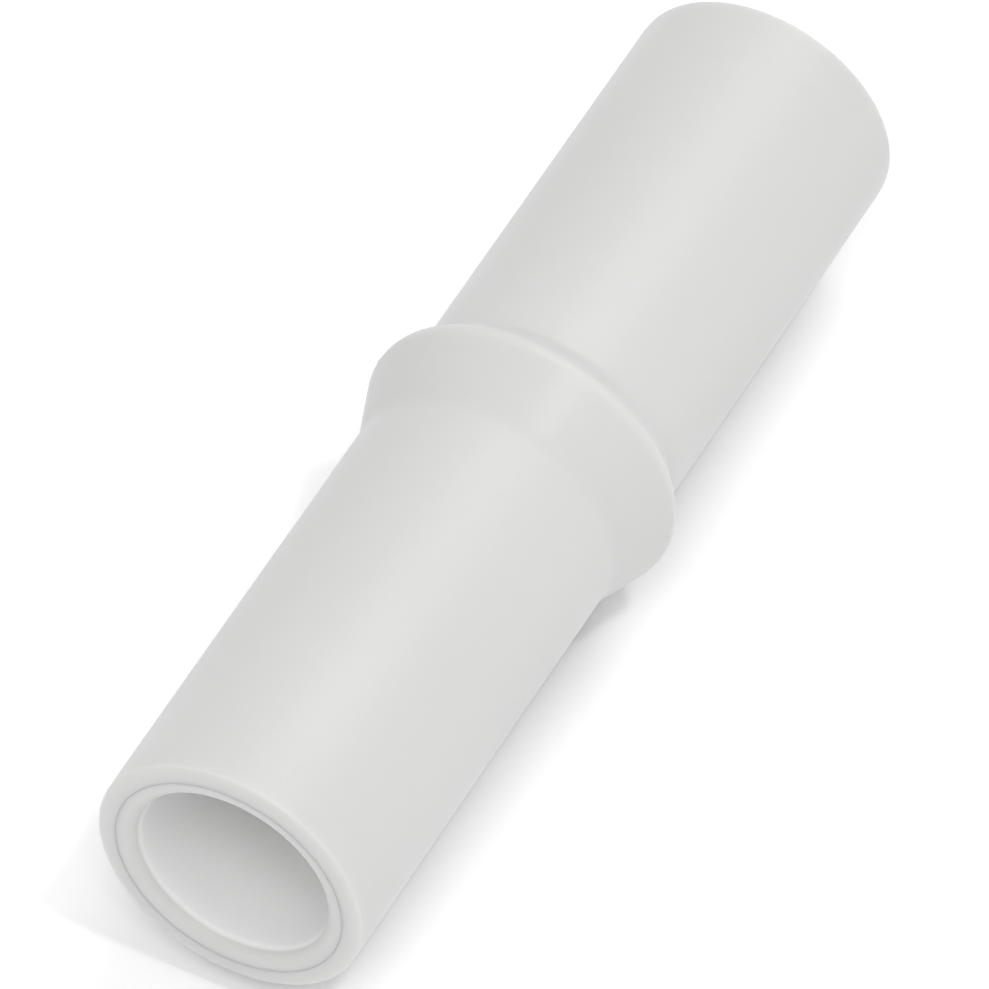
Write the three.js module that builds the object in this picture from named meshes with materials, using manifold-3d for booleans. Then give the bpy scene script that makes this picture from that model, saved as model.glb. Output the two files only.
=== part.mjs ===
// Push-fit coupling for 15 mm pipe, lying on its side. Millimetres, +Z up.
// The pipe axis runs along X: the near mouth faces -X, the far mouth +X, and the origin is on the
// surface below the middle of the coupling's length. Two identical stacks of rings, one behind each
// mouth, drop into a one-piece moulded body: the release sleeve and the split ring that keeps it in,
// the seat and the toothed grab ring that grips the pipe, then the guard and the O-ring that seal it.
import * as THREE from "three";
import { mergeVertices } from "three/addons/utils/BufferGeometryUtils.js";
import Module from "manifold-3d";

const wasm = await Module();
wasm.setup();

// Body, outside.
const OUTER_R = 10.65;
const NEAR_LENGTH = 45.0; // collar to near mouth
const FAR_LENGTH = 39.5; // collar to far mouth
const HALF_LENGTH = (NEAR_LENGTH + FAR_LENGTH) / 2;
const COLLAR_X = NEAR_LENGTH - HALF_LENGTH;
const LIP_FLAT_R = 9.6; // the lip is flat inside this radius and rounded outside it
const LIP_LENGTH = 0.35;

// Collar: a crest arc, a straight flank and a hollow foot arc on each side.
const COLLAR_HEIGHT = 1.95;
const CREST_ARC_R = 1.25;
const NEAR_FLANK = { slope: THREE.MathUtils.degToRad(20), footR: 5.0 };
const FAR_FLANK = { slope: THREE.MathUtils.degToRad(40), footR: 1.5 };

// Body, inside. Depths are measured from the mouth.
const BORE_R = 9.15; // the bore that holds the rings
const BORE_DEPTH = 31.3;
const GROOVE = { start: 3.5, end: 4.7, radius: 9.75 };
const SEAT_R = 7.6; // the pipe slides in here
const SEAT_LEAD_IN = 0.4;
const STOP_R = 6.6; // the rib that both pipes butt against
const STOP_WIDTH = 1.8;

// Release sleeve.
const SLEEVE_R = 9.03;
const SLEEVE_LIP = { radial: 1.3, axial: 1.15 };
const WAIST = { start: 1.5, end: 4.7, radius: 8.5 };
const SLEEVE_SHOULDER = 22;
const NOSE = { end: 24.4, radius: 8.35, bevel: 0.2 };

// Rings behind the sleeve.
const RING_R = 9.05;
const SPLIT_RING = { start: 3.6, end: 4.6, inner: 8.65, outer: 9.65, gap: 2.4 };
const GRAB_SEAT = { start: 24.6, end: 26.4, inner: 8.5, bevel: 0.3 };
const GRAB_RIM = { start: 26.5, end: 26.95, inner: 8.3 };
const TOOTH_TIP = { radius: 7.38, depth: 27.8 };
const TOOTH_COUNT = 20;
const TOOTH_GAP = 0.9;
const SLOT = { length: 3, top: 8.35 }; // cutter for one gap, wider than the cone along X
const GUARD = { start: 27.1, end: 29.2, inner: 7.75, dish: 8.75, throat: 28.4 };
const O_RING = { depth: 30.25, centreR: 8.16, sectionR: 0.94, steps: 12 };

// Turned pieces are polygons with a flat facing each way along Y and Z. The body's outside has few,
// wide flats, so that it lies still on a level surface.
const SIDES = 40;
const OUTSIDE_SIDES = 24;
const AXIS_HEIGHT = OUTER_R + COLLAR_HEIGHT;
const ARC_STEPS = 4;
const CREST_STEPS = 3;
const WELD = 1e-3; // points closer than this are one
const CLEAR = 1; // how far the hollow runs past each mouth

const NATURAL_PLASTIC = { color: 0xdddedb, roughness: 0.42, metalness: 0 };
const WHITE_ACETAL = { color: 0xeceae4, roughness: 0.5, metalness: 0 };
const STAINLESS = { color: 0xc4c6c8, roughness: 0.3, metalness: 1 };
const PALE_SILICONE = { color: 0xd6d7d2, roughness: 0.6, metalness: 0 };

// Points of a section, [radius, place along the axis], counter-clockwise so that faces point out,
// turned about the X axis. A section that doesn't start on the axis is closed on itself.
function turned(section, sides = SIDES) {
  const points = section.map(([radius, place]) => new THREE.Vector2(radius, place));
  if (points[0].x > 0) points.push(points[0].clone());
  return new THREE.LatheGeometry(points, sides, Math.PI / sides).rotateZ(-Math.PI / 2);
}

// The same section with its radii reaching the flats, where turned() puts them at the corners.
function acrossFlats(section, sides) {
  return section.map(([radius, place]) => [radius / Math.cos(Math.PI / sides), place]);
}

// A three.js geometry as a closed solid that can be cut, and back again.
function toSolid(geometry) {
  const bare = geometry.deleteAttribute("normal").deleteAttribute("uv");
  const merged = mergeVertices(bare, WELD);
  const vertProperties = merged.attributes.position.array;
  const triVerts = new Uint32Array(merged.index.array);
  return new wasm.Manifold(new wasm.Mesh({ numProp: 3, vertProperties, triVerts }));
}

function toGeometry(solid) {
  const { vertProperties, triVerts } = solid.getMesh();
  return new THREE.BufferGeometry()
    .setAttribute("position", new THREE.BufferAttribute(vertProperties, 3))
    .setIndex(new THREE.BufferAttribute(triVerts, 1));
}

// Points along a quarter ellipse from (r, x) to the far corner of its box, leaving along r.
function quarterRound(radius, place, radial, axial) {
  return Array.from({ length: ARC_STEPS + 1 }, (_, i) => {
    const turn = (i / ARC_STEPS) * (Math.PI / 2);
    return [radius + radial * Math.sin(turn), place + axial * (1 - Math.cos(turn))];
  });
}

// One side of the collar, from the crest down to the tube, going towards `way` (+1 or -1) along X.
function collarFlank({ slope, footR }, way) {
  const crestDrop = CREST_ARC_R * (1 - Math.cos(slope));
  const footRise = footR * (1 - Math.cos(slope));
  const straight = (COLLAR_HEIGHT - crestDrop - footRise) / Math.tan(slope);
  const footX = CREST_ARC_R * Math.sin(slope) + straight + footR * Math.sin(slope);
  const points = [];
  for (let i = 1; i <= CREST_STEPS; i += 1) {
    const turn = (i / CREST_STEPS) * slope;
    points.push([COLLAR_HEIGHT - CREST_ARC_R * (1 - Math.cos(turn)), CREST_ARC_R * Math.sin(turn)]);
  }
  for (let i = 0; i <= ARC_STEPS; i += 1) {
    const turn = slope * (1 - i / ARC_STEPS);
    points.push([footR * (1 - Math.cos(turn)), footX - footR * Math.sin(turn)]);
  }
  return points.map(([height, along]) => [OUTER_R + height, COLLAR_X + way * along]);
}

// The stepped bore from one mouth to the pipe seat; `way` points into the body along X.
function boreSteps(mouthX, way) {
  const steps = [
    [BORE_R, GROOVE.start],
    [GROOVE.radius, GROOVE.start],
    [GROOVE.radius, GROOVE.end],
    [BORE_R, GROOVE.end],
    [BORE_R, BORE_DEPTH],
    [SEAT_R + SEAT_LEAD_IN, BORE_DEPTH],
    [SEAT_R, BORE_DEPTH + SEAT_LEAD_IN],
  ];
  return steps.map(([radius, depth]) => [radius, mouthX + way * depth]);
}

// The outside of the body as a solid bar with rounded ends and the collar.
function bodyOutside() {
  const lipRadial = OUTER_R - LIP_FLAT_R;
  const nearLip = quarterRound(LIP_FLAT_R, -HALF_LENGTH, lipRadial, LIP_LENGTH);
  const farLip = quarterRound(LIP_FLAT_R, HALF_LENGTH, lipRadial, -LIP_LENGTH);
  const section = [
    [0, -HALF_LENGTH],
    ...nearLip,
    ...collarFlank(NEAR_FLANK, -1).reverse(),
    [OUTER_R + COLLAR_HEIGHT, COLLAR_X],
    ...collarFlank(FAR_FLANK, 1),
    ...farLip.reverse(),
    [0, HALF_LENGTH],
  ];
  return turned(acrossFlats(section, OUTSIDE_SIDES), OUTSIDE_SIDES);
}

// Everything that the body is hollowed out by, running a little past both mouths.
function bodyInside() {
  const past = HALF_LENGTH + CLEAR;
  const section = [
    [0, -past],
    [BORE_R, -past],
    ...boreSteps(-HALF_LENGTH, 1),
    [SEAT_R, COLLAR_X - STOP_WIDTH / 2],
    [STOP_R, COLLAR_X - STOP_WIDTH / 2],
    [STOP_R, COLLAR_X + STOP_WIDTH / 2],
    [SEAT_R, COLLAR_X + STOP_WIDTH / 2],
    ...boreSteps(HALF_LENGTH, -1).reverse(),
    [BORE_R, past],
    [0, past],
  ];
  return turned(acrossFlats(section, SIDES));
}

function couplingBody() {
  return toGeometry(toSolid(bodyOutside()).subtract(toSolid(bodyInside())));
}

// The sleeve that is pushed in to free the pipe: a lip, a waist that the split ring sits in,
// a long guide and a thin nose that reaches the teeth.
function releaseSleeve() {
  const innerLip = quarterRound(SEAT_R + SLEEVE_LIP.radial, 0, -SLEEVE_LIP.radial, SLEEVE_LIP.axial);
  return turned([
    [SLEEVE_R, 0],
    [SLEEVE_R, WAIST.start],
    [WAIST.radius, WAIST.start],
    [WAIST.radius, WAIST.end],
    [SLEEVE_R, WAIST.end],
    [SLEEVE_R, SLEEVE_SHOULDER],
    [NOSE.radius, SLEEVE_SHOULDER],
    [NOSE.radius, NOSE.end - NOSE.bevel],
    [NOSE.radius - NOSE.bevel, NOSE.end],
    [SEAT_R + NOSE.bevel, NOSE.end],
    [SEAT_R, NOSE.end - NOSE.bevel],
    ...innerLip.reverse(),
  ]);
}

// A flat open ring with a gap at the top, squeezed to pass the mouth and let go in its groove.
function splitRing() {
  const { start, end, inner, outer, gap } = SPLIT_RING;
  const halfGap = gap / 2 / outer;
  const outline = new THREE.Shape();
  outline.absarc(0, 0, outer, Math.PI / 2 + halfGap, Math.PI / 2 - halfGap + 2 * Math.PI, false);
  outline.absarc(0, 0, inner, Math.PI / 2 - halfGap + 2 * Math.PI, Math.PI / 2 + halfGap, true);
  const settings = { depth: end - start, bevelEnabled: false, curveSegments: SIDES };
  return new THREE.ExtrudeGeometry(outline, settings).rotateX(Math.PI / 2).rotateZ(Math.PI / 2)
    .translate(start, 0, 0);
}

function grabRingSeat() {
  const { start, end, inner, bevel } = GRAB_SEAT;
  return turned([
    [inner + bevel, start],
    [RING_R, start],
    [RING_R, end],
    [inner, end],
    [inner, start + bevel],
  ]);
}

// A flat rim with a ring of teeth that lean inwards and deeper, made by slotting a thin cone.
function grabRing() {
  const { start, end, inner } = GRAB_RIM;
  const thickness = end - start;
  let ring = toSolid(turned([
    [inner, start],
    [RING_R, start],
    [RING_R, end],
    [inner + thickness / 2, end],
    [TOOTH_TIP.radius + thickness / 2, TOOTH_TIP.depth],
    [TOOTH_TIP.radius, TOOTH_TIP.depth - thickness / 2],
  ]));
  for (let i = 0; i < TOOTH_COUNT; i += 1) {
    const slot = new THREE.BoxGeometry(SLOT.length, TOOTH_GAP, SLOT.top)
      .translate(TOOTH_TIP.depth, 0, SLOT.top / 2)
      .rotateX(((i + 0.5) / TOOTH_COUNT) * 2 * Math.PI);
    ring = ring.subtract(toSolid(slot));
  }
  return toGeometry(ring);
}

// The washer between teeth and seal, dished so that the teeth can flex when a pipe goes in.
function sealGuard() {
  const { start, end, inner, dish, throat } = GUARD;
  return turned([
    [dish, start],
    [RING_R, start],
    [RING_R, end],
    [inner, end],
    [inner, throat],
  ]);
}

function oRing() {
  const { depth, centreR, sectionR, steps } = O_RING;
  return turned(Array.from({ length: steps }, (_, i) => {
    const turn = (i / steps) * 2 * Math.PI;
    return [centreR + sectionR * Math.cos(turn), depth + sectionR * Math.sin(turn)];
  }));
}

function named(name, geometry, finish) {
  const mesh = new THREE.Mesh(geometry, new THREE.MeshStandardMaterial(finish));
  mesh.name = name;
  return mesh;
}

// All the loose pieces behind one mouth, with X pointing into the body from the mouth's plane.
function cartridge(side) {
  const stack = new THREE.Group();
  stack.add(
    named(`${side}_release_sleeve`, releaseSleeve(), NATURAL_PLASTIC),
    named(`${side}_retaining_ring`, splitRing(), WHITE_ACETAL),
    named(`${side}_grab_ring_seat`, grabRingSeat(), WHITE_ACETAL),
    named(`${side}_grab_ring`, grabRing(), STAINLESS),
    named(`${side}_seal_guard`, sealGuard(), WHITE_ACETAL),
    named(`${side}_o_ring`, oRing(), PALE_SILICONE),
  );
  return stack;
}

const coupling = new THREE.Group();
coupling.position.z = AXIS_HEIGHT;
coupling.add(named("coupling_body", couplingBody(), NATURAL_PLASTIC));

const near = cartridge("near");
near.position.x = -HALF_LENGTH;

const far = cartridge("far");
far.position.x = HALF_LENGTH;
far.rotation.z = Math.PI;

coupling.add(near, far);

const group = new THREE.Group();
group.add(coupling);

export default group;
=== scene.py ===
# %% [markdown]
# # A push-fit coupling for 15 mm pipe
# The real thing is a straight sleeve of milky plastic with a raised collar near its middle. A pipe is
# pushed into each mouth, where hidden rings grip and seal it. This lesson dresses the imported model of
# it: the frame gives every place, and each piece is made again with the fine surface that a moulded,
# pressed or rubber part really has.

# %% Load the frame
import math

import bmesh
import bpy
import numpy as np
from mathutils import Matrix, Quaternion, Vector


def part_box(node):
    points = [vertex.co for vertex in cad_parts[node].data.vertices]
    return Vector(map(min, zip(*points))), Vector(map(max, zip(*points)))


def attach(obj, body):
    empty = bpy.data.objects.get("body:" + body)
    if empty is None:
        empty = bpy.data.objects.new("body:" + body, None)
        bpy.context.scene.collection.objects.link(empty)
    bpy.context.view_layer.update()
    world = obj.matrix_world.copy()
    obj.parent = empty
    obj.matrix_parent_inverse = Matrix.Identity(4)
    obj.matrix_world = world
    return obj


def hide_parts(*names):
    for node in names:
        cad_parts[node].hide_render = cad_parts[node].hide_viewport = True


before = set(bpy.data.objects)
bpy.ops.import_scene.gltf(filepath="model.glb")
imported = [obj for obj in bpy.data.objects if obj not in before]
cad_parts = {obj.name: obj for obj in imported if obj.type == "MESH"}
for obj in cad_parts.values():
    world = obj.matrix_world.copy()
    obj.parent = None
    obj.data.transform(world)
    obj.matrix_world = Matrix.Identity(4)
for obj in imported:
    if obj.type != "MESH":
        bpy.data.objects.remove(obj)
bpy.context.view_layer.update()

# %% [markdown]
# ## Where things are
# Everything on this object is round and shares one axis, so a place is only a radius and a distance
# along X. The body's own box gives the axis height, both mouths and the collar's radius. Depths are
# counted inwards from the nearer mouth, as a plumber would say how far a pipe goes in, so one set of
# numbers serves both ends.

# %% The shared axis and the two mouths
MM = 0.001
BODY_LOW, BODY_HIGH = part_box("coupling_body")
AXIS_Z = (BODY_LOW.z + BODY_HIGH.z) / 2
COLLAR_R = (BODY_HIGH.z - BODY_LOW.z) / 2
MOUTHS = {"near": (BODY_LOW.x, 1), "far": (BODY_HIGH.x, -1)}
LENGTH = BODY_HIGH.x - BODY_LOW.x


def depth_span(side, part):
    """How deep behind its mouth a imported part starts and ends."""
    mouth_x, way = MOUTHS[side]
    low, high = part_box(f"{side}_{part}")
    return sorted(((low.x - mouth_x) * way, (high.x - mouth_x) * way))


print("axis height", round(AXIS_Z / MM, 2), "mm, length", round(LENGTH / MM, 1), "mm")
print("grab ring lies at", [round(d / MM, 2) for d in depth_span("near", "grab_ring")], "mm deep")

# %% [markdown]
# ## Camera
# The coupling lies on its side and is seen from above its near mouth, so that the mouth opens to the
# lower left and the far end rises to the upper right. A long lens keeps the sides of the tube almost
# parallel. The camera slides a little sideways and down instead of using lens shift, because the
# picture's middle isn't quite on the collar.

# %% Long lens above the near mouth
VIEW_AZIMUTH = math.radians(-62.44)
VIEW_ELEVATION = math.radians(48.6)
VIEW_DISTANCE = 0.986
LENS_MM = 491.4
COLLAR_FROM_MOUTH = 45.0 * MM
SLIDE_RIGHT, SLIDE_UP = -1.89 * MM, -2.63 * MM

collar_x = MOUTHS["near"][0] + COLLAR_FROM_MOUTH
collar_centre = Vector((collar_x, 0, AXIS_Z))
towards_camera = Vector((
    math.sin(VIEW_AZIMUTH) * math.cos(VIEW_ELEVATION),
    -math.cos(VIEW_AZIMUTH) * math.cos(VIEW_ELEVATION),
    math.sin(VIEW_ELEVATION),
))

camera_data = bpy.data.cameras.new("long_lens")
camera_data.lens = LENS_MM
camera_data.sensor_width = 36
camera_data.clip_start, camera_data.clip_end = 0.05, 20
camera = bpy.data.objects.new("long_lens", camera_data)
camera.rotation_mode = "QUATERNION"
camera.rotation_quaternion = (-towards_camera).to_track_quat("-Z", "Y")
slide = camera.rotation_quaternion @ Vector((SLIDE_RIGHT, SLIDE_UP, 0))
camera.location = collar_centre + towards_camera * VIEW_DISTANCE + slide
bpy.context.scene.collection.objects.link(camera)
bpy.context.scene.camera = camera
print("camera at", [round(v, 3) for v in camera.location])

# %% [markdown]
# ## Drawing a cut face
# A turned or moulded ring is easiest to draw as the face that shows if it is sawn through: a closed
# outline of radius against distance along the axis. Two helpers draw such outlines. `arc` gives a
# stretch of a circle or an ellipse. `soften` takes plain corners and rolls each one over with the small
# radius that a mould or a die leaves, since no real edge is perfectly sharp.


# %% Arcs and softened corners
def arc(centre, radial, axial, start, stop, steps):
    """Points on an ellipse round (radius, x), from angle 0 = outwards towards 90 = along +X, in degrees."""
    turns = np.radians(np.linspace(start, stop, steps + 1))
    return [(centre[0] + radial * math.cos(t), centre[1] + axial * math.sin(t)) for t in turns]


def soften(corners, steps=4):
    """Corners are (radius, x, roll-over). Ends of an open outline keep their place."""
    points = [corners[0][:2]]
    for before, here, after in zip(corners, corners[1:], corners[2:]):
        place = Vector(here[:2])
        back, ahead = Vector(before[:2]) - place, Vector(after[:2]) - place
        half_turn = back.angle(ahead) / 2
        if here[2] == 0 or half_turn > math.radians(88):
            points.append(tuple(place))
            continue
        reach = min(here[2] / math.tan(half_turn), back.length * 0.45, ahead.length * 0.45)
        start, end = place + back.normalized() * reach, place + ahead.normalized() * reach
        for i in range(steps + 1):
            t = i / steps
            points.append(tuple(start * (1 - t) ** 2 + place * (2 * t * (1 - t)) + end * t ** 2))
    return points + [corners[-1][:2]]


def fill_gaps(outline, longest):
    """Adds points on long straight stretches, so that the surface can wander a little there."""
    filled = []
    for here, after in zip(outline, outline[1:] + outline[:1]):
        pieces = max(1, math.ceil(math.dist(here, after) / longest))
        filled += [tuple(np.add(here, np.subtract(after, here) * i / pieces)) for i in range(pieces)]
    return filled


print("a softened 90 degree corner has", len(soften([(0, 0, 0), (1, 0, 0.1), (1, 1, 0)])) - 2, "points")

# %% [markdown]
# ## Turning the cut face
# Blender's Screw modifier could turn an outline, but then every row round the part is the same. Built
# row by row, the angles can be closer together where something small sits, such as the mould's joint
# line, and each point can be moved in or out by a hair for the slight ovality of a real moulding.


# %% A lathe that can wander
def even_angles(count):
    return np.linspace(0, 2 * math.pi, count, endpoint=False)


def turned_piece(name, outline, angles, wander=None, open_ring=False):
    """Turns a closed outline about the pipe axis. wander(radius, x, angle) moves points outwards."""
    rows, columns = len(angles), len(outline)
    radius, x = np.array(outline).T
    angle = np.repeat(np.asarray(angles)[:, None], columns, axis=1)
    radius, x = np.broadcast_to(radius, angle.shape), np.broadcast_to(x, angle.shape)
    if wander is not None:
        radius = radius + wander(radius, x, angle)
    place = np.stack([x, radius * np.sin(angle), AXIS_Z + radius * np.cos(angle)], axis=-1)
    faces = []
    for row in range(rows - 1 if open_ring else rows):
        following = (row + 1) % rows
        for column in range(columns):
            beside = (column + 1) % columns
            faces.append((row * columns + column, following * columns + column,
                          following * columns + beside, row * columns + beside))
    if open_ring:
        faces.append(tuple(range(columns)))
        faces.append(tuple(range((rows - 1) * columns, rows * columns))[::-1])
    return smooth_piece(name, place.reshape(-1, 3).tolist(), faces)


def smooth_piece(name, points, faces, weld=0):
    """A smooth piece with its faces pointing outwards. Points closer than weld are joined first."""
    mesh = bpy.data.meshes.new(name)
    mesh.from_pydata(points, [], faces)
    surface = bmesh.new()
    surface.from_mesh(mesh)
    if weld:
        bmesh.ops.remove_doubles(surface, verts=surface.verts, dist=weld)
    bmesh.ops.recalc_face_normals(surface, faces=surface.faces)
    surface.to_mesh(mesh)
    surface.free()
    mesh.shade_smooth()
    piece = bpy.data.objects.new(name, mesh)
    bpy.context.scene.collection.objects.link(piece)
    return piece


def depth_to_x(side, outline):
    """An outline drawn in depths from the mouth, put in place behind one mouth."""
    mouth_x, way = MOUTHS[side]
    return [(radius, mouth_x + way * depth) for radius, depth in outline]


def settle(piece, material, body, slot, *nodes):
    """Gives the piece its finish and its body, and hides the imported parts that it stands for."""
    piece.data.materials.append(material)
    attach(piece, body)
    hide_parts(*nodes)
    print(piece.name, "has", len(piece.data.polygons), "faces")
    return piece


print("lathe ready")

# %% [markdown]
# ## Finishes
# Each finish is one Principled shader, driven by patterns in the object's own space: noise for clouds,
# specks and skin, and the distance from the pipe axis where inside and outside differ. Nothing on this
# object is printed or worn to a picture, so no image is needed. A small class keeps the wiring short.


# %% Shader helpers
class Finish:
    """A material with one Principled shader, and short ways to add the nodes that drive it."""

    def __init__(self, name, **sockets):
        self.material = bpy.data.materials.new(name)
        self.material.use_nodes = True
        self.nodes = self.material.node_tree.nodes
        self.links = self.material.node_tree.links
        self.shader = self.nodes["Principled BSDF"]
        self.place = self.nodes.new("ShaderNodeTexCoord").outputs["Object"]
        for socket, value in sockets.items():
            self.shader.inputs[socket.replace("_", " ")].default_value = value

    def noise(self, size, detail=3.0, stretch=(1, 1, 1)):
        """Noise whose lumps are about `size` metres across, drawn out along an axis by stretch."""
        mapping = self.nodes.new("ShaderNodeMapping")
        mapping.inputs["Scale"].default_value = [1 / s for s in stretch]
        self.links.new(self.place, mapping.inputs["Vector"])
        noise = self.nodes.new("ShaderNodeTexNoise")
        noise.inputs["Scale"].default_value = 1 / size
        noise.inputs["Detail"].default_value = detail
        self.links.new(mapping.outputs["Vector"], noise.inputs["Vector"])
        return noise.outputs["Fac"]

    def radius(self):
        """Distance from the pipe axis."""
        mapping = self.nodes.new("ShaderNodeMapping")
        mapping.inputs["Location"].default_value = (0, 0, -AXIS_Z)
        mapping.inputs["Scale"].default_value = (0, 1, 1)
        length = self.nodes.new("ShaderNodeVectorMath")
        length.operation = "LENGTH"
        self.links.new(self.place, mapping.inputs["Vector"])
        self.links.new(mapping.outputs["Vector"], length.inputs[0])
        return length.outputs["Value"]

    def remap(self, value, low, high, to_low, to_high):
        remap = self.nodes.new("ShaderNodeMapRange")
        for socket, number in zip(("From Min", "From Max", "To Min", "To Max"),
                                  (low, high, to_low, to_high)):
            remap.inputs[socket].default_value = number
        self.links.new(value, remap.inputs["Value"])
        return remap.outputs["Result"]

    def blend(self, share, first, second):
        """A colour between two, which are colours or other colour outputs."""
        mix = self.nodes.new("ShaderNodeMix")
        mix.data_type = "RGBA"
        self.links.new(share, mix.inputs["Factor"])
        for socket, colour in ((mix.inputs[6], first), (mix.inputs[7], second)):
            if isinstance(colour, tuple):
                socket.default_value = (*colour, 1)
            else:
                self.links.new(colour, socket)
        return mix.outputs[2]

    def relief(self, *layers):
        """Stacks bump layers, each (height output, depth in metres, strength)."""
        normal = None
        for height, depth, strength in layers:
            bump = self.nodes.new("ShaderNodeBump")
            bump.inputs["Distance"].default_value = depth
            bump.inputs["Strength"].default_value = strength
            self.links.new(height, bump.inputs["Height"])
            if normal is not None:
                self.links.new(normal, bump.inputs["Normal"])
            normal = bump.outputs["Normal"]
        self.links.new(normal, self.shader.inputs["Normal"])

    def drive(self, socket, value):
        self.links.new(value, self.shader.inputs[socket])


print("finish helpers ready")


# %% [markdown]
# ## Milky natural plastic
# Natural polypropylene has no pigment, so light goes a millimetre or two into it, scatters and comes
# out again, and the Principled shader's subsurface does this. The tone clouds very slightly where the
# melt flowed, the satin skin is a little uneven, and fine specks keep it from looking like a drawing.
# Body and sleeves share one outside tone, so that they read as one round the mouth. A real bore is also
# lit by light that passes through the walls again and again, of which a render follows only a few
# steps. The bore's tone is set lighter to make up for that; it isn't whiter on the real part.


# %% The moulded plastic of body and sleeves
def natural_plastic(name, tone, cloudy_tone, bore_tone=None):
    finish = Finish(name, IOR=1.49, Subsurface_Weight=0.6, Subsurface_Scale=0.0014,
                    Specular_IOR_Level=0.3)
    finish.shader.inputs["Subsurface Radius"].default_value = (1.0, 0.98, 0.94)
    clouds = finish.remap(finish.noise(22 * MM, 2, (2.5, 1, 1)), 0.35, 0.65, 0, 1)
    specks = finish.remap(finish.noise(0.35 * MM, 1), 0.68, 0.74, 0, 0.05)
    toned = finish.blend(clouds, tone, cloudy_tone)
    if bore_tone:
        outside_share = finish.remap(finish.radius(), *BORE_EDGE, 0, 1)
        toned = finish.blend(outside_share, bore_tone, toned)
    finish.drive("Base Color", finish.blend(specks, toned, (0.42, 0.41, 0.38)))
    skin = finish.noise(6 * MM, 4, (1.6, 1, 1))
    finish.drive("Roughness", finish.remap(skin, 0.3, 0.7, 0.34, 0.42))
    finish.relief(
        (finish.noise(2.4 * MM, 2), 0.03 * MM, 0.25),
        (finish.noise(0.22 * MM, 2), 0.004 * MM, 0.35),
    )
    return finish.material


OUTSIDE_TONES = (0.58, 0.58, 0.576), (0.56, 0.56, 0.556)
BORE_TONE = (0.88, 0.88, 0.875)
BORE_EDGE = (7.61 * MM, 7.75 * MM)
BODY_PLASTIC = natural_plastic("natural_body_plastic", *OUTSIDE_TONES)
SLEEVE_PLASTIC = natural_plastic("natural_sleeve_plastic", *OUTSIDE_TONES, BORE_TONE)
print("plastics:", BODY_PLASTIC.name, SLEEVE_PLASTIC.name)

# %% [markdown]
# ## White acetal
# The small rings behind the sleeve are acetal, a harder plastic that is whiter and hardly lets light
# in. It is machined or moulded to a close size, so fine rings from turning show in its satin skin.


# %% The white working rings
def white_acetal():
    finish = Finish("white_acetal", IOR=1.48, Subsurface_Weight=0.12, Subsurface_Scale=0.0006)
    clouds = finish.remap(finish.noise(4 * MM, 3), 0.35, 0.65, 0, 1)
    finish.drive("Base Color", finish.blend(clouds, (0.84, 0.83, 0.8), (0.79, 0.78, 0.75)))
    finish.drive("Roughness", finish.remap(finish.noise(1.5 * MM, 3), 0.3, 0.7, 0.34, 0.5))
    finish.relief((finish.noise(0.25 * MM, 2, (0.3, 4, 4)), 0.004 * MM, 0.5))
    return finish.material


ACETAL = white_acetal()
print("acetal:", ACETAL.name)

# %% [markdown]
# ## Pressed stainless steel
# The grab ring is stamped from thin spring strip. Strip is rolled, so it has fine straight lines, and
# pressing leaves the edges and tooth tips rubbed brighter. Roughness carries most of that look.


# %% Spring strip
def spring_steel():
    finish = Finish("stainless_spring_strip", Metallic=1.0)
    lines = finish.noise(0.12 * MM, 3, (1, 14, 1))
    finish.drive("Base Color", finish.blend(lines, (0.6, 0.6, 0.61), (0.7, 0.7, 0.7)))
    finish.drive("Roughness", finish.remap(lines, 0.3, 0.7, 0.2, 0.38))
    finish.relief((lines, 0.003 * MM, 0.4))
    return finish.material


STEEL = spring_steel()
print("steel:", STEEL.name)

# %% [markdown]
# ## Pale silicone
# The seal is pale silicone with a film of fitting grease: soft, cloudy, and shinier than the plastics
# round it. A dark seal would show through the milky wall as a band, and the real coupling shows none.


# %% Greased silicone
def greased_silicone():
    finish = Finish("greased_silicone", IOR=1.41, Subsurface_Weight=0.7, Subsurface_Scale=0.0012,
                    Coat_Weight=0.35, Coat_Roughness=0.12)
    clouds = finish.remap(finish.noise(3 * MM, 3), 0.35, 0.65, 0, 1)
    finish.drive("Base Color", finish.blend(clouds, (0.72, 0.725, 0.7), (0.66, 0.665, 0.64)))
    finish.drive("Roughness", finish.remap(finish.noise(0.9 * MM, 2), 0.3, 0.7, 0.3, 0.48))
    finish.relief((finish.noise(0.5 * MM, 2), 0.01 * MM, 0.4))
    return finish.material


SILICONE = greased_silicone()
print("silicone:", SILICONE.name)

# %% [markdown]
# ## The moulded body
# Outside, the body is a plain tube with one feature, the collar. Its near flank is long and nearly
# straight, its far flank is steeper, its crest is a small arc, and both feet are hollow. The lips of
# the mouths are rolled over so that nothing catches a hand or a pipe. These are all arcs and straights,
# so the outline is worked out from a few radii and slopes.

# %% The outside, lip to lip
TUBE_R = 10.65 * MM
LIP_CROWN_R = 9.6 * MM
LIP_LENGTH = 0.35 * MM
LIP_EDGE = 0.012 * MM
CREST_ARC_R = 1.25 * MM
NEAR_FLANK = (20, 5.0 * MM)
FAR_FLANK = (40, 1.5 * MM)


def collar_flank(slope, foot_r, way):
    """From the crest down to the tube: crest arc, straight flank, hollow foot."""
    turn = math.radians(slope)
    height = COLLAR_R - TUBE_R
    straight = (height - (CREST_ARC_R + foot_r) * (1 - math.cos(turn))) / math.tan(turn)
    foot_x = (CREST_ARC_R + foot_r) * math.sin(turn) + straight
    crest = arc((COLLAR_R - CREST_ARC_R, 0), CREST_ARC_R, CREST_ARC_R, 0, slope, 10)
    foot = arc((TUBE_R + foot_r, foot_x), foot_r, foot_r, 180 + slope, 180, 12)
    return [(radius, collar_x + way * along) for radius, along in crest + foot]


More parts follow.
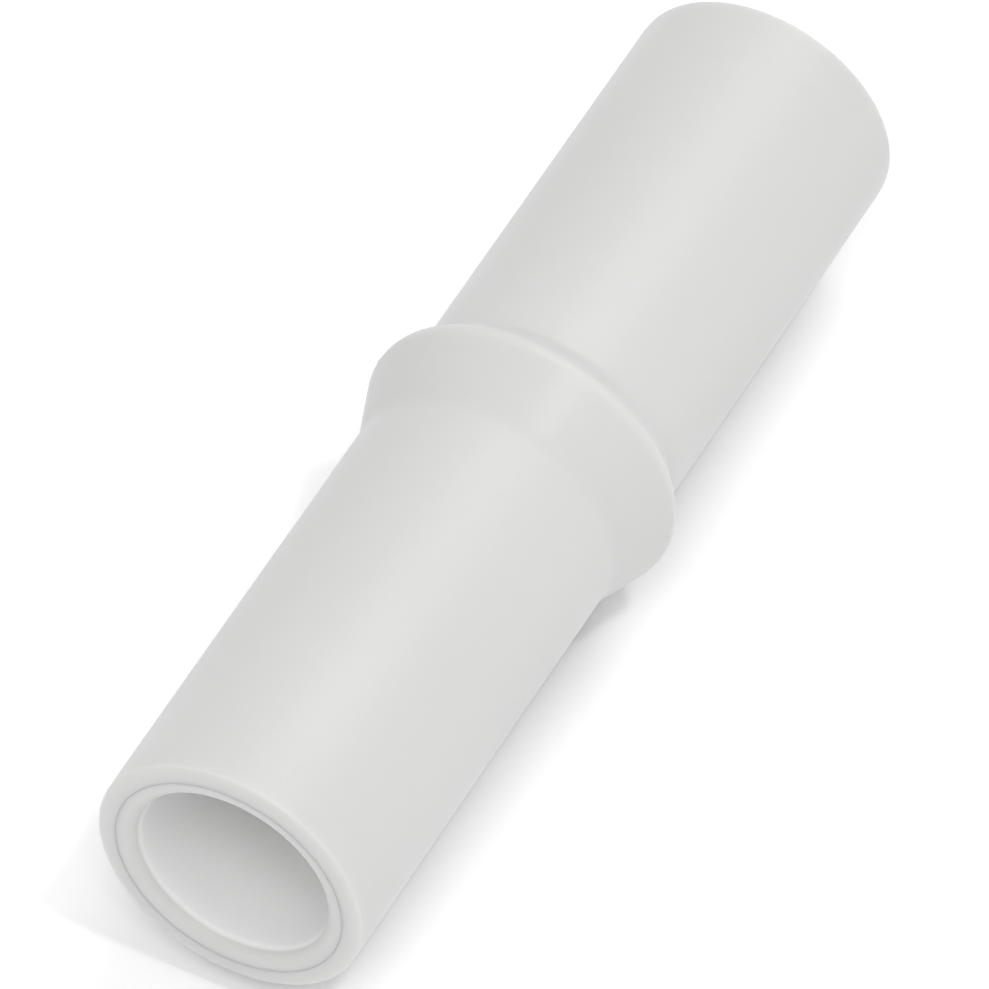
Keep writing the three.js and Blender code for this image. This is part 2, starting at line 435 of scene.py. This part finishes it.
def rolled_lip(side):
    mouth_x, way = MOUTHS[side]
    roll = arc((LIP_CROWN_R, LIP_LENGTH), TUBE_R - LIP_CROWN_R, LIP_LENGTH, -90, 0, 16)
    return [(radius, mouth_x + way * depth) for radius, depth in roll]


outside = (rolled_lip("near") + collar_flank(*NEAR_FLANK, -1)[::-1]
           + collar_flank(*FAR_FLANK, 1)[1:] + rolled_lip("far")[::-1])
print("outside outline:", len(outside), "points, collar", round(COLLAR_R / MM, 2), "mm in radius")

# %% [markdown]
# Inside, the body is bored out behind each mouth for the rings, with a groove for the split ring near
# the mouth and a step at the bottom for the seal. Between the two bores the pipes' ends sit in a
# narrower seat and butt against a rib under the collar.

# %% The inside, from mouth to stop rib
RING_BORE_R = 9.15 * MM
RING_BORE_DEPTH = 31.3 * MM
GROOVE_R = 9.75 * MM
GROOVE_SPARE = 0.1 * MM
SEAT_R = 7.6 * MM
SEAT_LEAD_IN = 0.5 * MM
STOP_R = 6.6 * MM
STOP_HALF_WIDTH = 0.9 * MM


def bore_corners(side):
    start, end = depth_span(side, "retaining_ring")
    start, end = start - GROOVE_SPARE, end + GROOVE_SPARE
    corners = [
        (LIP_CROWN_R - LIP_EDGE, 0, 0),
        (RING_BORE_R, 0, LIP_EDGE),
        (RING_BORE_R, start, 0.06 * MM),
        (GROOVE_R, start, 0.12 * MM),
        (GROOVE_R, end, 0.12 * MM),
        (RING_BORE_R, end, 0.06 * MM),
        (RING_BORE_R, RING_BORE_DEPTH, 0.2 * MM),
        (SEAT_R + SEAT_LEAD_IN, RING_BORE_DEPTH, 0.1 * MM),
        (SEAT_R, RING_BORE_DEPTH + SEAT_LEAD_IN, 0.3 * MM),
    ]
    mouth_x, way = MOUTHS[side]
    return [(radius, mouth_x + way * depth, roll) for radius, depth, roll in corners]


stop_corners = [
    (SEAT_R, collar_x + STOP_HALF_WIDTH, 0.15 * MM),
    (STOP_R, collar_x + STOP_HALF_WIDTH, 0.2 * MM),
    (STOP_R, collar_x - STOP_HALF_WIDTH, 0.2 * MM),
    (SEAT_R, collar_x - STOP_HALF_WIDTH, 0.15 * MM),
]
inside = soften(bore_corners("far") + stop_corners + bore_corners("near")[::-1])
print("inside outline:", len(inside), "points")

# %% [markdown]
# The mould for the outside opens in two halves, so a hair-thin line runs along both sides of the
# moulding where they met. As it cools the tube also goes very slightly oval and the thick collar sinks
# a little. All of that is a few hundredths of a millimetre, put straight into the mesh.

# %% Joint line, ovality and sink
AROUND = 288
JOINT_ANGLE = math.radians(67.8)
JOINT_HEIGHT = 0.035 * MM
JOINT_WIDTH = 0.11 * MM
OVALITY = 0.02 * MM
SINK = 0.03 * MM
SINK_LENGTH = 2.2 * MM


def moulding_wander(radius, x, angle):
    is_outside = radius > TUBE_R - 0.3 * MM
    from_joint = (angle - JOINT_ANGLE + math.pi / 2) % math.pi - math.pi / 2
    joint = JOINT_HEIGHT * np.exp(-(from_joint * TUBE_R / JOINT_WIDTH) ** 2)
    oval = OVALITY * np.cos(2 * angle + 0.8 + 18 * x)
    lazy = 0.4 * OVALITY * np.sin(3 * angle + 95 * x)
    sink = -SINK * np.exp(-((x - collar_x) / SINK_LENGTH) ** 2) * (0.5 + 0.5 * np.cos(3 * angle + 1))
    return np.where(is_outside, joint + oval + lazy + sink, 0)


offsets = np.array([-3, -2, -1, -0.5, 0, 0.5, 1, 2, 3]) * JOINT_WIDTH / TUBE_R
near_joints = [JOINT_ANGLE + offset + half for offset in offsets for half in (0, math.pi)]
body_angles = np.unique(np.round(np.concatenate([even_angles(AROUND), near_joints]), 5))
body = turned_piece("moulded_body", fill_gaps(outside + inside, 1.2 * MM), body_angles, moulding_wander)
settle(body, BODY_PLASTIC, "body", "body_plastic", "coupling_body")

# %% [markdown]
# ## Release sleeves
# Pushing this sleeve in lifts the teeth off the pipe. Its lip lies flush in the mouth, with only a
# hairline round it, and its bore is the smooth bore that shows when looking in. A waist behind the lip
# gives the split ring room, which sets how far the sleeve travels. The thin nose reaches the teeth.

# %% Sleeve behind each mouth
SLEEVE_R = 9.03 * MM
SLEEVE_LIP_R = 9.142 * MM
SLEEVE_BORE_R = 7.6 * MM
SLEEVE_ROLL = (1.35 * MM, 1.15 * MM)
WAIST_R = 8.5 * MM
WAIST_DEPTHS = (1.5 * MM, 4.7 * MM)
SHOULDER_DEPTH = 22 * MM
NOSE_R = 8.35 * MM
SLEEVE_OVALITY = 0.004 * MM


def sleeve_outline(side):
    start, end = depth_span(side, "release_sleeve")
    bore_roll = arc((SLEEVE_BORE_R + SLEEVE_ROLL[0], start + SLEEVE_ROLL[1]), *SLEEVE_ROLL, 180, 270, 16)
    corners = [
        (*bore_roll[-1], 0),
        (SLEEVE_LIP_R, start, LIP_EDGE),
        (SLEEVE_LIP_R, WAIST_DEPTHS[0], 0.1 * MM),
        (WAIST_R, WAIST_DEPTHS[0], 0.2 * MM),
        (WAIST_R, WAIST_DEPTHS[1], 0.2 * MM),
        (SLEEVE_R, WAIST_DEPTHS[1], 0.1 * MM),
        (SLEEVE_R, SHOULDER_DEPTH, 0.15 * MM),
        (NOSE_R, SHOULDER_DEPTH, 0.25 * MM),
        (NOSE_R, end, 0.2 * MM),
        (SLEEVE_BORE_R, end, 0.25 * MM),
        (*bore_roll[0], 0),
    ]
    return soften(corners) + bore_roll[1:-1]


def sleeve_wander(radius, x, angle):
    return SLEEVE_OVALITY * np.sin(2 * angle + 60 * x)


for side in MOUTHS:
    outline = fill_gaps(depth_to_x(side, sleeve_outline(side)), 1.5 * MM)
    sleeve = turned_piece(f"{side}_sleeve", outline, even_angles(AROUND), sleeve_wander)
    settle(sleeve, SLEEVE_PLASTIC, f"{side}_release", "sleeve_plastic", f"{side}_release_sleeve")

# %% [markdown]
# ## Split retaining rings
# The ring is squeezed shut, passed down the mouth and let go in its groove, where it holds the sleeve
# in. It is a flat strip bent into a circle that isn't closed, so it is turned over most of a circle
# and capped at both ends.

# %% Split ring in each groove
SPLIT_R = (8.65 * MM, 9.65 * MM)
SPLIT_GAP = 2.4 * MM
SPLIT_ROLL = 0.18 * MM
RING_ROUND = 200

half_gap = SPLIT_GAP / 2 / SPLIT_R[1]
split_angles = np.linspace(half_gap, 2 * math.pi - half_gap, RING_ROUND) + math.pi / 2
for side in MOUTHS:
    start, end = depth_span(side, "retaining_ring")
    middle = (start + end) / 2
    corners = [
        (SPLIT_R[1], middle, 0), (SPLIT_R[1], end, SPLIT_ROLL), (SPLIT_R[0], end, SPLIT_ROLL),
        (SPLIT_R[0], start, SPLIT_ROLL), (SPLIT_R[1], start, SPLIT_ROLL), (SPLIT_R[1], middle, 0),
    ]
    outline = depth_to_x(side, soften(corners)[:-1])
    ring = turned_piece(f"{side}_split_ring", outline, split_angles, open_ring=True)
    settle(ring, ACETAL, "body", "ring_acetal", f"{side}_retaining_ring")

# %% [markdown]
# ## Seat and guard
# Two closed rings do the quiet work. The seat stops the grab ring from being pulled out with the pipe.
# The guard is dished on the mouth side so that the teeth have room to bend, and flat on the other,
# where it holds the seal.

# %% Grab ring seats and seal guards
RING_R = 9.05 * MM
SEAT_RING_BORE_R = 8.5 * MM
GUARD_BORE_R = 7.75 * MM
GUARD_DISH_R = 8.75 * MM
GUARD_THROAT = 0.8 * MM


def closed_outline(corners):
    """Softens every corner of a closed outline: the start is put midway along the first edge."""
    first, second = corners[0], corners[1]
    middle = ((first[0] + second[0]) / 2, (first[1] + second[1]) / 2, 0)
    return soften([middle] + corners[1:] + [first, middle])[:-1]


for side in MOUTHS:
    start, end = depth_span(side, "grab_ring_seat")
    seat_corners = [
        (RING_R, start, 0.12 * MM), (RING_R, end, 0.08 * MM), (SEAT_RING_BORE_R, end, 0.08 * MM),
        (SEAT_RING_BORE_R, start + 0.3 * MM, 0.15 * MM), (SEAT_RING_BORE_R + 0.3 * MM, start, 0.15 * MM),
    ]
    seat = turned_piece(f"{side}_grip_seat", depth_to_x(side, closed_outline(seat_corners)),
                        even_angles(RING_ROUND))
    settle(seat, ACETAL, "body", "ring_acetal", f"{side}_grab_ring_seat")

    start, end = depth_span(side, "seal_guard")
    guard_corners = [
        (RING_R, start, 0.1 * MM), (RING_R, end, 0.1 * MM), (GUARD_BORE_R, end, 0.2 * MM),
        (GUARD_BORE_R, end - GUARD_THROAT, 0.15 * MM), (GUARD_DISH_R, start, 0.08 * MM),
    ]
    guard = turned_piece(f"{side}_guard_ring", depth_to_x(side, closed_outline(guard_corners)),
                         even_angles(RING_ROUND))
    settle(guard, ACETAL, "body", "ring_acetal", f"{side}_seal_guard")

# %% [markdown]
# ## Seals
# An O-ring is moulded between two halves, which leave a hair of flash round its inside and its outside.
# It is turned here from one closed circle, with the points at those two places moved outwards.

# %% O-rings
SEAL_MID_R = 8.16 * MM
SEAL_SECTION_R = 0.94 * MM
SEAL_FLASH = 0.025 * MM
SEAL_STEPS = 48

for side in MOUTHS:
    start, end = depth_span(side, "o_ring")
    middle = (SEAL_MID_R, (start + end) / 2)
    section = arc(middle, SEAL_SECTION_R, SEAL_SECTION_R, 0, 360, SEAL_STEPS)[:-1]
    for step, flash in ((0, SEAL_FLASH), (SEAL_STEPS // 2, -SEAL_FLASH)):
        section[step] = (section[step][0] + flash, section[step][1])
    seal = turned_piece(f"{side}_seal", depth_to_x(side, section), even_angles(RING_ROUND))
    settle(seal, SILICONE, "body", "seal_silicone", f"{side}_o_ring")

# %% [markdown]
# ## Toothed grab rings
# One stamping makes the ring: a flat rim, then slots with round ends that leave twenty teeth, which
# are bent inwards and away from the mouth. A pipe slides in past them but can't come back. The sheet's
# middle surface is drawn first, tooth by tooth, and Solidify and Bevel give it thickness and edges.

# %% Stamped ring with bent teeth
TEETH = 20
TOOTH_TIP_R = 7.4 * MM
SLOT_ROOT_R = 8.45 * MM
SLOT_HALF_WIDTH = 0.45 * MM
BEND_R = 8.3 * MM
TOOTH_LEAN = math.radians(47)
SHEET = 0.4 * MM
RUBBED_EDGE = 0.05 * MM
BEND_SOFTNESS = 0.12 * MM
TIP_BLUNT = 0.12 * MM
WELD = 0.002 * MM
TOOTH_COLUMNS, TOOTH_ROWS, RIM_ROWS = 8, 14, 4


def slot_half_width(radius):
    """Half the slot's width, closing in a round end at its root."""
    into_end = radius - (SLOT_ROOT_R - SLOT_HALF_WIDTH)
    if into_end <= 0:
        return SLOT_HALF_WIDTH
    return math.sqrt(max(SLOT_HALF_WIDTH ** 2 - into_end ** 2, 0))


def sheet_depth(radius):
    """How much deeper the bent sheet lies than its rim: a short curve, then a straight lean."""
    past_bend = max(BEND_R - radius, 0)
    return (math.hypot(past_bend, BEND_SOFTNESS) - BEND_SOFTNESS) * math.tan(TOOTH_LEAN)


def stamped_ring(name, side):
    start, _ = depth_span(side, "grab_ring")
    mouth_x, way = MOUTHS[side]
    tooth_radii = np.linspace(TOOTH_TIP_R, SLOT_ROOT_R, TOOTH_ROWS)
    radii = np.concatenate([tooth_radii, np.linspace(SLOT_ROOT_R, RING_R, RIM_ROWS + 1)[1:]])
    columns = np.linspace(-1, 1, TOOTH_COLUMNS + 1)
    points, faces = [], []
    for tooth in range(TEETH):
        first = len(points)
        for row, radius in enumerate(radii):
            half = math.pi / TEETH - (slot_half_width(radius) / radius if row < TOOTH_ROWS else 0)
            for column in columns:
                blunt = TIP_BLUNT * abs(column) ** 4 if row == 0 else 0
                angle = 2 * math.pi * tooth / TEETH + column * half
                depth = start + SHEET / 2 + sheet_depth(radius + blunt)
                points.append((mouth_x + way * depth, (radius + blunt) * math.sin(angle),
                               AXIS_Z + (radius + blunt) * math.cos(angle)))
        wide = TOOTH_COLUMNS + 1
        for row in range(len(radii) - 1):
            for column in range(TOOTH_COLUMNS):
                corner = first + row * wide + column
                faces.append((corner, corner + 1, corner + wide + 1, corner + wide))
    ring = smooth_piece(name, points, faces, WELD)
    thicken = ring.modifiers.new("sheet", "SOLIDIFY")
    thicken.thickness, thicken.offset = SHEET, 0
    edges = ring.modifiers.new("rubbed_edges", "BEVEL")
    edges.width, edges.segments, edges.limit_method = RUBBED_EDGE, 2, "ANGLE"
    return ring


for side in MOUTHS:
    ring = stamped_ring(f"{side}_toothed_ring", side)
    settle(ring, STEEL, f"{side}_grip", "grip_steel", f"{side}_grab_ring")

# %% [markdown]
# ## Gate mark
# The melt came in through a small gate under the joint line, beside the collar. Where it was torn off,
# a low ragged stub stays. It is on the side away from the camera.

# %% Stub below the joint line
GATE_R = 0.8 * MM
GATE_STAND = 0.12 * MM
GATE_SUNK = 0.2 * MM
GATE_FROM_COLLAR = 9.5 * MM
GATE_ANGLE = JOINT_ANGLE + math.radians(30)


def gate_mark():
    rings, round_steps = 7, 28
    across = np.linspace(0, 1, rings)
    height = np.where(across < 0.8, 1 - 0.25 * across ** 2, 0.84 * (1 - ((across - 0.8) / 0.2) ** 2))
    points = [(0, 0, GATE_STAND)]
    for share, rise in zip(across[1:], height[1:]):
        for turn in even_angles(round_steps):
            ragged = 1 + 0.04 * math.sin(5 * turn) + 0.03 * math.sin(9 * turn + 1)
            points.append((GATE_R * share * ragged * math.cos(turn),
                           GATE_R * share * ragged * math.sin(turn), GATE_STAND * rise))
    points += [(x, y, -GATE_SUNK) for x, y, _ in points[-round_steps:]]
    points.append((0, 0, -GATE_SUNK))
    faces = [(0, 1 + i, 1 + (i + 1) % round_steps) for i in range(round_steps)]
    for ring in range(rings - 1):
        base = 1 + ring * round_steps
        for i in range(round_steps):
            j = (i + 1) % round_steps
            faces.append((base + i, base + round_steps + i, base + round_steps + j, base + j))
    last = len(points) - 1
    faces += [(last, last - round_steps + (i + 1) % round_steps, last - round_steps + i)
              for i in range(round_steps)]
    mark = smooth_piece("gate_mark", points, faces)
    outwards = Vector((0, math.sin(GATE_ANGLE), math.cos(GATE_ANGLE)))
    mark.rotation_mode = "QUATERNION"
    mark.rotation_quaternion = outwards.to_track_quat("Z", "Y")
    mark.location = Vector((collar_x + GATE_FROM_COLLAR, 0, AXIS_Z)) + outwards * TUBE_R
    return mark


gate = gate_mark()
gate.data.materials.append(BODY_PLASTIC)
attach(gate, "body")
print("gate mark at", [round(v / MM, 1) for v in gate.location], "mm")

# %% [markdown]
# ## Floor
# The floor is a sheet of matt white card, large enough to reach past every view. It has the faint
# mottling of card so that it isn't one flat colour.

# %% White card floor
FLOOR_HALF = 15.0


def card():
    finish = Finish("white_card", Roughness=0.85, Specular_IOR_Level=0.2)
    mottle = finish.noise(60 * MM, 4)
    finish.drive("Base Color", finish.blend(mottle, (0.93, 0.93, 0.93), (0.95, 0.95, 0.95)))
    return finish.material


floor_mesh = bpy.data.meshes.new("card_floor")
floor_mesh.from_pydata([(-FLOOR_HALF, -FLOOR_HALF, 0), (FLOOR_HALF, -FLOOR_HALF, 0),
                        (FLOOR_HALF, FLOOR_HALF, 0), (-FLOOR_HALF, FLOOR_HALF, 0)], [], [(0, 1, 2, 3)])
floor = bpy.data.objects.new("card_floor", floor_mesh)
floor.data.materials.append(card())
bpy.context.scene.collection.objects.link(floor)
print("floor", FLOOR_HALF * 2, "m across")

# %% [markdown]
# ## Light
# The object is pale on white, so the light has to be soft and nearly even. A bright sky gives the even
# part. One large lamp stands behind the camera, so that it reaches into the mouth, most of its shadow
# hides behind the object, and the tube darkens a little towards both edges. A second one high over the
# far end lights the collar's far flank. The white floor already lights the underside, so both are
# turned a little upwards about the tube. A small lamp overhead puts a gentle shine on the near flank.

# %% Soft sky and three lamps
SKY = 0.67
LAMP_ROLL = math.radians(11)
BIG_LAMP_DISTANCE = 1.25


def disc_lamp(name, towards, distance, size, watts):
    data = bpy.data.lights.new(name, "AREA")
    data.shape = "DISK"
    data.size = size
    data.energy = watts
    lamp = bpy.data.objects.new(name, data)
    lamp.location = collar_centre + towards * distance
    lamp.rotation_mode = "QUATERNION"
    lamp.rotation_quaternion = (-towards).to_track_quat("-Z", "Y")
    lamp.visible_camera = False
    bpy.context.scene.collection.objects.link(lamp)
    print(name, watts, "W")


world = bpy.data.worlds.new("soft_sky")
world.use_nodes = True
background = world.node_tree.nodes["Background"]
background.inputs["Color"].default_value = (1, 1, 1, 1)
background.inputs["Strength"].default_value = SKY
bpy.context.scene.world = world


def rolled_up(direction):
    """The same direction, turned a little about the tube towards the sky."""
    return Quaternion((1, 0, 0), -LAMP_ROLL) @ direction


def tilted(degrees):
    """Square on to the tube from the camera's side, tipped towards the far end."""
    turn = math.radians(degrees)
    square_on = Vector((0, towards_camera.y, towards_camera.z)).normalized()
    return square_on * math.cos(turn) + Vector((math.sin(turn), 0, 0))


flank_normal = tilted(-NEAR_FLANK[0])
mirrored = 2 * flank_normal.dot(towards_camera) * flank_normal - towards_camera
disc_lamp("large_lamp", rolled_up(towards_camera), BIG_LAMP_DISTANCE, 0.8, 5.5)
disc_lamp("far_lamp", rolled_up(tilted(FAR_FLANK[0])), BIG_LAMP_DISTANCE, 0.9, 4.7)
disc_lamp("small_lamp", mirrored, 0.9, 0.09, 1.3)
bpy.context.scene.view_settings.view_transform = "Standard"
print("sky", SKY)
